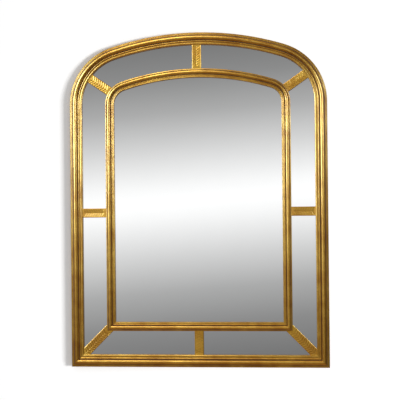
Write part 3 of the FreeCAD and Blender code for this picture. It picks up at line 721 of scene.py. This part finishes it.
def bar_lines():
    """Each bar's start on the frame's outer edge, its run inwards and how its ends are shaped.

    The end shape gives the distance along the bar, from its middle and an inset, at which it meets
    a moulding's edge.
    """

    def square(offset, inset):
        return inset

    def mitred(offset, inset):
        return inset * math.sqrt(2) + abs(offset)

    def curved(radius):
        def end(offset, inset):
            return radius - math.sqrt((radius - inset) ** 2 - offset**2)

        return end

    outward = Vector((math.cos(TOP_BAR_ANGLE), math.sin(TOP_BAR_ANGLE)))
    haunch = Vector((HAUNCH_CENTRE, SPRINGING))
    half = FRAME_WIDTH / 2
    right_hand = {
        "right": (Vector((half, SIDE_BAR_HEIGHT)), Vector((-1, 0)), square),
        "top_right": (haunch + outward * HAUNCH_RADIUS, -outward, curved(HAUNCH_RADIUS)),
        "bottom_right": (Vector((half, 0)), Vector((-1, 1)).normalized(), mitred),
    }
    flip = Matrix.Diagonal((-1, 1))
    left_hand = {
        name.replace("right", "left"): (flip @ start, flip @ run, end)
        for name, (start, run, end) in right_hand.items()
    }
    central = {
        "top": (Vector((0, FRAME_HEIGHT)), Vector((0, -1)), curved(CROWN_RADIUS)),
        "bottom": (Vector((0, 0)), Vector((0, 1)), square),
    }
    return {**central, **right_hand, **left_hand}


def fade(distance, reach):
    """A smooth rise from 0 at no distance to 1 at reach."""
    share = min(1.0, max(0.0, distance / reach))
    return share * share * (3 - 2 * share)


def engraving(along, offset, start, end, cuts):
    """How deep the engraver's cut goes at a point of a bar. The chevrons point to its inner end."""
    phase = (along - start + abs(offset) / math.tan(CHEVRON_ARM)) / CHEVRON_PITCH
    stroke = cuts[int(phase) % len(cuts)]
    swing = abs(phase % 1.0 - 0.5) * 2
    chevron = CHEVRON_DEPTH * stroke * (1 - fade(swing, STROKE_SPREAD))
    spine = SPINE_DEPTH * fade(SPINE_WIDTH - abs(offset), SPINE_WIDTH)
    from_edge = BAR_WIDTH / 2 - BAR_ROUND - abs(offset)
    from_ends = fade(along - start - PLAIN_OUTER_END, PLAIN_FADE)
    from_ends *= fade(end - along - PLAIN_INNER_END, PLAIN_FADE)
    return max(chevron, spine) * fade(from_edge, CHEVRON_BORDER) * from_ends


def bar_columns():
    """Offsets across a bar: even over its face, close together over its rounded edges."""
    flat = BAR_WIDTH / 2 - BAR_ROUND
    steps = 2 * math.ceil(flat / BAR_GRID)
    face = [flat * (2 * step / steps - 1) for step in range(steps + 1)]
    turns = [math.pi / 2 * step / BEND_STEPS for step in range(1, BEND_STEPS + 1)]
    bends = [flat + BAR_ROUND * math.sin(turn) for turn in turns]
    return [-bend for bend in reversed(bends)] + face + bends


def stem_outline(end_at):
    """The outline of a bar's stem, as distances along the bar and offsets across it."""
    half = BAR_WIDTH / 2 - LIP_WIDTH
    offsets = (-half, 0.0, half)
    under_outer, under_inner = REBATE + BAR_END_GAP, MARGIN_END + LIP_WIDTH - BAR_END_GAP
    outer_end = [(end_at(offset, under_outer), offset) for offset in offsets]
    inner_end = [(end_at(offset, under_inner), offset) for offset in reversed(offsets)]
    return outer_end + inner_end


def make_bar(name, start, run, end_at, gold, seed):
    """A bar: an engraved face with rounded edges, on a stem that lies between the panes."""
    draw = random.Random(seed)
    cuts = [draw.uniform(*STROKE_FORCE) for _ in range(STROKES)]
    side = Vector((run.y, -run.x))
    bm = bmesh.new()
    uv = bm.loops.layers.uv.new("run")
    relief_layer = bm.verts.layers.float.new("relief")
    columns = bar_columns()
    rows = math.ceil((MARGIN_END - OUTER_WIDTH) / BAR_GRID)

    def vertex(along, offset, height, level):
        point = start + run * along + side * offset
        vert = bm.verts.new((point.x, -height, point.y))
        vert[relief_layer] = level
        return vert

    top, foot = [], []
    for offset in columns:
        first, last = end_at(offset, OUTER_WIDTH), end_at(offset, MARGIN_END)
        over = max(0.0, abs(offset) - BAR_WIDTH / 2 + BAR_ROUND)
        drop = BAR_ROUND - math.sqrt(max(0.0, BAR_ROUND**2 - over**2))
        line = []
        for row in range(rows + 1):
            along = first + (last - first) * row / rows
            cut = engraving(along, offset, first, last, cuts)
            # Painted shade: darker in the engraved strokes and over the rounded edges, partly
            # rubbed leaf there; the foot on the glass is darkest
            level = 1 - CUT_SHADE * cut / CHEVRON_DEPTH - BEND_WEAR_AND_SHADE * over / BAR_ROUND
            line.append(vertex(along, offset, BAR_FACE - drop - cut, level))
        top.append(line)
        foot.append((vertex(first, offset, GLASS_FRONT, 0), vertex(last, offset, GLASS_FRONT, 0)))

    def face(verts):
        made = bm.faces.new(verts)
        for loop in made.loops:
            point = Vector((loop.vert.co.x, loop.vert.co.z)) - start
            loop[uv].uv = (point.dot(run), point.dot(side))

    for line, beside in zip(top, top[1:]):
        for row in range(rows):
            face((line[row], line[row + 1], beside[row + 1], beside[row]))
    for index in range(len(columns) - 1):
        face((top[index][0], top[index + 1][0], foot[index + 1][0], foot[index][0]))
        face((top[index][-1], top[index + 1][-1], foot[index + 1][1], foot[index][1]))
        face((foot[index][0], foot[index + 1][0], foot[index + 1][1], foot[index][1]))
    for index in (0, -1):
        face([*top[index], foot[index][1], foot[index][0]])

    outline = stem_outline(end_at)
    # The stem between the panes is darkened as painted shade
    back, front = (
        [vertex(*point, height, STEM_SHADE_RELIEF) for point in outline]
        for height in (GLASS_BACK, GLASS_FRONT)
    )
    for index in range(len(outline)):
        other = (index + 1) % len(outline)
        face((back[index], back[other], front[other], front[index]))
    face(back)
    face(front)
    piece = finished(bm, f"engraved_bar_{name}", (gold,))
    place_piece(piece, "gilt_bar", f"bar_{name}")


# Fasteners


def screw_spots(node):
    """Where the screws of a loaded group stand, as x and z: the middles of its separate solids."""
    bm = bmesh.new()
    bm.from_mesh(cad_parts[node].data)
    bmesh.ops.remove_doubles(bm, verts=bm.verts, dist=0.001 * MM)
    spots, seen = [], set()
    for vert in bm.verts:
        if vert in seen:
            continue
        island, waiting = [], [vert]
        seen.add(vert)
        while waiting:
            reached = waiting.pop()
            island.append(reached.co.copy())
            for edge in reached.link_edges:
                other = edge.other_vert(reached)
                if other not in seen:
                    seen.add(other)
                    waiting.append(other)
        xs, zs = [co.x for co in island], [co.z for co in island]
        spots.append(((min(xs) + max(xs)) / 2, (min(zs) + max(zs)) / 2))
    bm.free()
    return spots


def make_screws(name, node, profile, arm, steel):
    """Screws turned from a profile of radius and height, with cross recesses in their heads."""
    bm, tool = bmesh.new(), bmesh.new()
    turns = [2 * math.pi * side / SCREW_SIDES for side in range(SCREW_SIDES)]
    wide = RECESS_HALF_WIDTH
    corners, cross = [(arm, wide), (wide, wide), (wide, arm)], []
    for _ in range(4):
        cross += corners
        corners = [(-w, u) for u, w in corners]
    head_level = profile[0][1]
    recess = ((head_level - RECESS_DEPTH, 1.0), (head_level + RECESS_DEPTH, RECESS_TAPER))
    for x, z in screw_spots(node):
        body = []
        for radius, level in profile:
            circle = [(radius * math.cos(turn), radius * math.sin(turn)) for turn in turns]
            body.append([(x + u, -level, z + w) for u, w in circle])
        add_tube(bm, body)
        rims = [
            [(x + u * taper, -level, z + w * taper) for u, w in cross] for level, taper in recess
        ]
        add_tube(tool, rims)
    piece = finished(bm, name, (steel,), sharp=SCREW_SHARP_TURN)
    carve(piece, finished(tool, f"{name}_tool", (steel,)))
    place_piece(piece, "zinc_steel", node)


def make_fasteners(steel):
    """Countersunk screws in the backboard and pan-head screws in the hanger straps."""
    low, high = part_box("backboard_screws")
    board_back, tip = -high.y, -low.y
    head_radius, shank_radius, head_depth, rim = 3.4 * MM, 1.6 * MM, 2 * MM, 0.15 * MM
    countersunk = [
        (head_radius - rim, board_back),
        (head_radius, board_back + rim),
        (shank_radius, board_back + head_depth),
        (shank_radius, tip - SCREW_POINT),
        (SCREW_TIP, tip),
    ]
    make_screws("crosshead_board_screws", "backboard_screws", countersunk, 1.9 * MM, steel)

    low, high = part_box("hanger_screws")
    head_top, tip = -high.y, -low.y
    head_radius, shank_radius, head_height = 3.2 * MM, 1.7 * MM, 2 * MM
    flat_share, dome_height = 0.45, 0.6 * head_height
    dome = [math.pi / 2 * step / 5 for step in range(2, 6)]
    pan = []
    for angle in dome:
        radius = head_radius * (flat_share + (1 - flat_share) * math.sin(angle))
        pan.append((radius, head_top + dome_height * (math.cos(dome[0]) - math.cos(angle))))
    shank = [
        (head_radius, head_top + head_height),
        (shank_radius, head_top + head_height),
        (shank_radius, tip - SCREW_POINT),
        (SCREW_TIP, tip),
    ]
    make_screws("crosshead_hanger_screws", "hanger_screws", pan + shank, 1.8 * MM, steel)


def dress_nodes(finishes):
    """Gives loaded nodes their finishes, and eased edges where they show."""
    for material, slot, ease, nodes in finishes:
        for node in nodes:
            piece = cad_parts[node]
            piece.data.materials.clear()
            piece.data.materials.append(material)
            if ease:
                bevel = piece.modifiers.new("eased", "BEVEL")
                bevel.width, bevel.segments = ease, BEVEL_SEGMENTS
                bevel.limit_method, bevel.angle_limit = "ANGLE", BEVEL_TURN


def make_mirror():
    """Every piece of the mirror."""
    moulding_gold = gilt("gilt_moulding_leaf", *MOULDING_LEAF, bole_level=0.50)
    bar_gold = gilt("gilt_bar_leaf", *BAR_LEAF, bole_level=0.56)
    zinc = plated_steel("zinc_plate", *ZINC, brushed=0.30)
    nickel = plated_steel("nickel_plate", *NICKEL, brushed=0.18)
    make_mouldings(moulding_gold)
    for seed, (name, (start, run, end_at)) in enumerate(bar_lines().items()):
        make_bar(name, start, run, end_at, bar_gold, seed)
    make_fasteners(zinc)
    hangers = [f"{side}_hanger_{part}" for side in ("left", "right") for part in ("strap", "ring")]
    beech = bare_wood("beech_tongue", *BEECH, along=Z)
    dress_nodes(
        (
            (mirror_glass(), "mirror_glass", 0, PANES),
            (plywood(), "plywood", 0.4 * MM, ["backboard"]),
            (beech, "beech", 0.3 * MM, ["outer_frame_tongues", "inner_frame_tongues"]),
            (zinc, "zinc_steel", 0.1 * MM, ["glazing_points"]),
            (nickel, "nickel_steel", 0, hangers),
        )
    )


# Stage, light and camera

# A wall just behind the mirror and a floor below it
WALL_GAP = 1.5 * MM
WALL_SIZE = 8.0
WALL_GLOW = 0.02
FLOOR_DROP = 0.42
FLOOR_GLOW = 0.30

# Light on matt surfaces from the room and from behind the mirror, and where one gives way to the
# other along Y
FRONT_AMBIENT = (0.58, 0.58, 0.58)
BACK_AMBIENT = (0.9, 0.9, 0.9)
FRONT_TO_BACK = (-0.1, 0.1)

# The reflected room: the tilt and height of its eye level, and its brightness by the distance
# above or below that
REFLECTED_TILT = 0.076
REFLECTED_LIFT = 0.012
REFLECTED_BAND = (
    (0.0, 1.16),
    (0.02, 1.06),
    (0.07, 0.72),
    (0.112, 0.46),
    (0.155, 0.292),
    (0.20, 0.203),
    (1.0, 0.30),
)

# Shades over the room in blurred reflections: its two sides, floor, ceiling and lower half. Each
# has an axis, where along it the shade sets in and is full, and its colours above and below eye
# level.
ROOM_SHADES = (
    ("X", 0.12, 0.40, (0.36, 0.25, 0.13), (0.23, 0.13, 0.045)),
    ("X", -0.24, -0.45, (0.42, 0.30, 0.17), (0.36, 0.215, 0.085)),
    ("Z", -0.2, -0.55, (1.5, 1.02, 0.5), (1.5, 1.02, 0.5)),
    ("Z", 0.2, 0.5, (1.35, 1.08, 0.66), (1.35, 1.08, 0.66)),
    ("Z", 0.02, -0.1, (0.75, 0.67, 0.5), (0.75, 0.67, 0.5)),
)
ABOVE_TO_BELOW = (0.06, -0.10)

# The camera's place, its yaw, pitch and roll in degrees, and its lens in millimetres
CAMERA_PLACE = (0.2078, -2.8145, 0.5779)
CAMERA_TURN = (4.1, 0.35, 0.56)
CAMERA_CLIP = (0.05, 100)
LENS = 70.83
SENSOR_WIDTH = 36.0


def flat_sheet(name, corners, material):
    """A flat four-cornered part of the stage."""
    mesh = bpy.data.meshes.new(name)
    mesh.from_pydata(corners, [], [(0, 1, 2, 3)])
    mesh.materials.append(material)
    sheet = bpy.data.objects.new(name, mesh)
    bpy.context.scene.collection.objects.link(sheet)
    return sheet


def stage_paint(name, glow):
    """Pale matt paint that only the camera sees, and only from its front."""
    finish = Finish(name)
    finish.nodes.remove(finish.shader)
    speckle = finish.noise(finish.place(), 60.0, detail=2.0)
    colour = finish.mix(speckle, *STAGE_PAINT)
    paint = finish.add("BsdfDiffuse", {"Color": colour})
    light = finish.add("Emission", {"Color": (*WHITE, 1), "Strength": glow})
    lit = finish.add("AddShader", {0: paint.outputs[0], 1: light.outputs[0]})
    clear = finish.add("BsdfTransparent")
    seen = finish.add("LightPath").outputs["Is Camera Ray"]
    behind = finish.add("NewGeometry").outputs["Backfacing"]
    shown = finish.math("SUBTRACT", seen, behind, clamp=True)
    both = finish.add("MixShader", {0: shown, 1: clear.outputs[0], 2: lit.outputs[0]})
    finish.links.new(both.outputs[0], finish.nodes["Material Output"].inputs["Surface"])
    return finish.material


def make_stage():
    """A white wall behind the mirror and a pale floor below it."""
    half, floor = WALL_SIZE / 2, -FLOOR_DROP
    upright = ((-half, floor), (half, floor), (half, half), (-half, half))
    level = ((-half, -half), (half, -half), (half, half), (-half, half))
    wall = [(x, WALL_GAP, z) for x, z in upright]
    ground = [(x, y, floor) for x, y in level]
    return [
        flat_sheet("wall", wall, stage_paint("wall_paint", WALL_GLOW)),
        flat_sheet("floor", ground, stage_paint("floor_paint", FLOOR_GLOW)),
    ]


def make_world():
    """White for the camera, even light on matt surfaces, and a reflected room, bright at eye level.

    The glass, which reflects sharply, shows the room unshaded. All else shows it shaded.
    """
    world = bpy.data.worlds.new("studio")
    bpy.context.scene.world = world
    tree = NodeTree(world)
    direction = tree.add("TexCoord").outputs["Generated"]
    axes = tree.add("SeparateXYZ", {0: direction})

    def reach(axis, near, far):
        """How far the direction has gone from one value to another along an axis, from 0 to 1."""
        inputs = {"Value": axes.outputs[axis], "From Min": near, "From Max": far}
        return tree.add("MapRange", inputs).outputs["Result"]

    upward = Vector((-REFLECTED_TILT, 0, 1)).normalized()
    rise = tree.add("VectorMath", {0: direction, 1: upward}, operation="DOT_PRODUCT")
    lifted = tree.math("SUBTRACT", rise.outputs["Value"], REFLECTED_LIFT)
    band = tree.ramp(tree.math("ABSOLUTE", lifted), *REFLECTED_BAND)
    room = band
    for axis, near, far, upper, lower in ROOM_SHADES:
        shade = tree.mix(reach("Z", *ABOVE_TO_BELOW), upper, lower)
        room = tree.mix(reach(axis, near, far), room, shade, "MULTIPLY")
    ambient = tree.mix(reach("Y", *FRONT_TO_BACK), FRONT_AMBIENT, BACK_AMBIENT)
    path = tree.add("LightPath")
    reflected = tree.mix(path.outputs["Is Singular Ray"], room, band)
    unseen = tree.mix(path.outputs["Is Diffuse Ray"], reflected, ambient)
    seen = tree.mix(path.outputs["Is Camera Ray"], unseen, WHITE)
    tree.links.new(seen, tree.nodes["Background"].inputs["Color"])


def softbox(name, azimuth, elevation, distance, size, radiance, colour, lit):
    """A square area lamp of a given brightness, turned to the mirror's middle.

    Its azimuth is measured from the room side of the mirror towards the right.
    """
    data = bpy.data.lights.new(name, "AREA")
    data.shape, data.size = "SQUARE", size
    data.energy, data.color = radiance * math.pi * size**2, colour
    lamp = bpy.data.objects.new(name, data)
    aside, above = math.radians(azimuth), math.radians(elevation)
    level = math.cos(above)
    away = Vector((math.sin(aside) * level, -math.cos(aside) * level, math.sin(above)))
    lamp.location = Vector((0, 0, FRAME_HEIGHT / 2)) + away * distance
    lamp.rotation_euler = away.to_track_quat("Z", "Y").to_euler()
    lamp.visible_camera = False
    lamp.light_linking.receiver_collection = lit
    bpy.context.scene.collection.objects.link(lamp)
    return lamp


def lit_by(name, pieces, state):
    """A set of pieces that lamps light, or leave out."""
    lit = bpy.data.collections.new(name)
    for piece in pieces:
        lit.objects.link(piece)
    for member in lit.collection_objects:
        member.light_linking.link_state = state
    return lit


def make_lights(stage):
    """Three lamps that the gilding and the steel reflect, and one for the shadow on the stage."""
    unlit = lit_by("unlit", stage + [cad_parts[node] for node in PANES], "EXCLUDE")
    reflected = {
        "key": dict(
            azimuth=-52, elevation=18, distance=3.2, size=2.0, radiance=6.1, colour=DAYLIGHT
        ),
        "fill": dict(
            azimuth=50, elevation=18, distance=3.2, size=1.3, radiance=5.6, colour=DAYLIGHT
        ),
        "top": dict(
            azimuth=-25, elevation=55, distance=3.0, size=1.5, radiance=3.5, colour=CEILING_LIGHT
        ),
    }
    for name, settings in reflected.items():
        lamp = softbox(name, lit=unlit, **settings)
        lamp.visible_diffuse = False
    softbox(
        "shadow",
        azimuth=54.3,
        elevation=-1.5,
        distance=9.0,
        size=1.8,
        radiance=78.0,
        colour=WHITE,
        lit=lit_by("stage", stage, "INCLUDE"),
    )


def make_camera():
    """The camera: a little right of the middle, at half height, turned and rolled slightly."""
    data = bpy.data.cameras.new("camera")
    data.lens, data.sensor_width = LENS, SENSOR_WIDTH
    data.clip_start, data.clip_end = CAMERA_CLIP
    camera = bpy.data.objects.new("camera", data)
    yaw, pitch, roll = (math.radians(angle) for angle in CAMERA_TURN)
    turn = Matrix.Rotation(yaw, 4, "Z") @ Matrix.Rotation(pitch, 4, "X")
    turn = turn @ Matrix.Rotation(roll, 4, "Y")
    stand = Matrix.Rotation(math.pi / 2, 4, "X")
    camera.matrix_world = Matrix.Translation(CAMERA_PLACE) @ turn @ stand
    bpy.context.scene.collection.objects.link(camera)
    bpy.context.scene.camera = camera


make_mirror()
stage = make_stage()
make_world()
make_lights(stage)
make_camera()
bpy.context.scene.view_settings.view_transform = "Standard"
